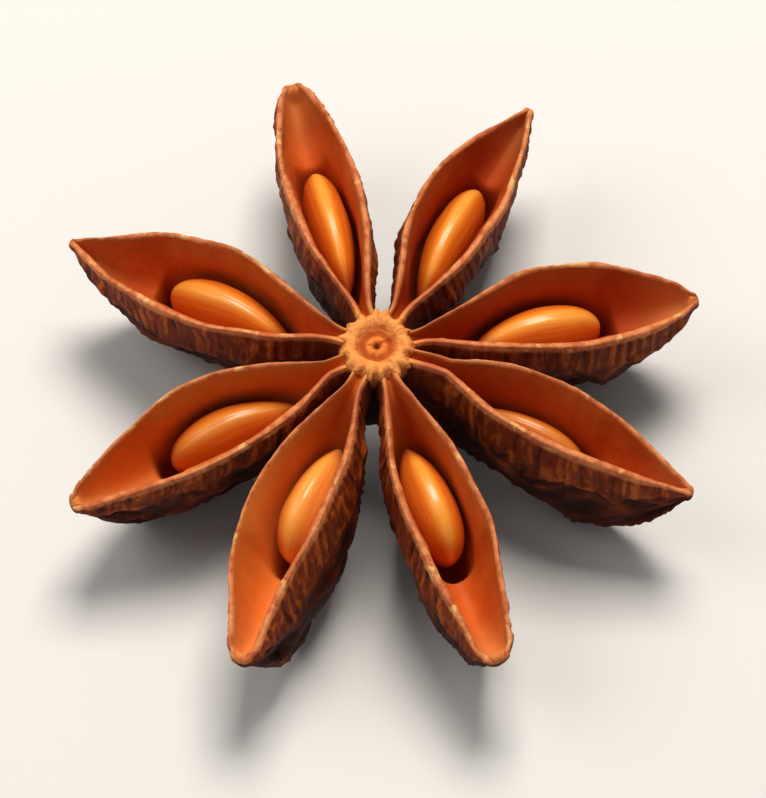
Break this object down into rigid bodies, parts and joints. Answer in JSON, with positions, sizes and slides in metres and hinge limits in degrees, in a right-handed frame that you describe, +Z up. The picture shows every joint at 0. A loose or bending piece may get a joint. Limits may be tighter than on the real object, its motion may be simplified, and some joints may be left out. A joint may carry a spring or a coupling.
{
  "type": "star anise pod",
  "caption": "Whole dried star anise: woody boat-shaped carpels in a star round a short column, each split open along the top with a glossy seed lying in it.",
  "frame": {"origin": "centre of the overall box in plan, on the plane the keels rest on", "axes": "+Z up, out of the open side; +Y along the longer spread, away from the viewer; +X to the viewer's right"},
  "size_m": [0.0298, 0.0316, 0.0089],
  "materials": {
    "husk": "dry matt woody husk, red-brown inside, dark wrinkled outside, pale lips",
    "seed_coat": "smooth glossy amber seed coat"
  },
  "bodies": {
    "root": {"pod": "husk", "seed_1": "seed_coat", "seed_2": "seed_coat", "seed_3": "seed_coat", "seed_4": "seed_coat", "seed_5": "seed_coat", "seed_6": "seed_coat", "seed_7": "seed_coat", "seed_8": "seed_coat"}
  },
  "joints": []
}
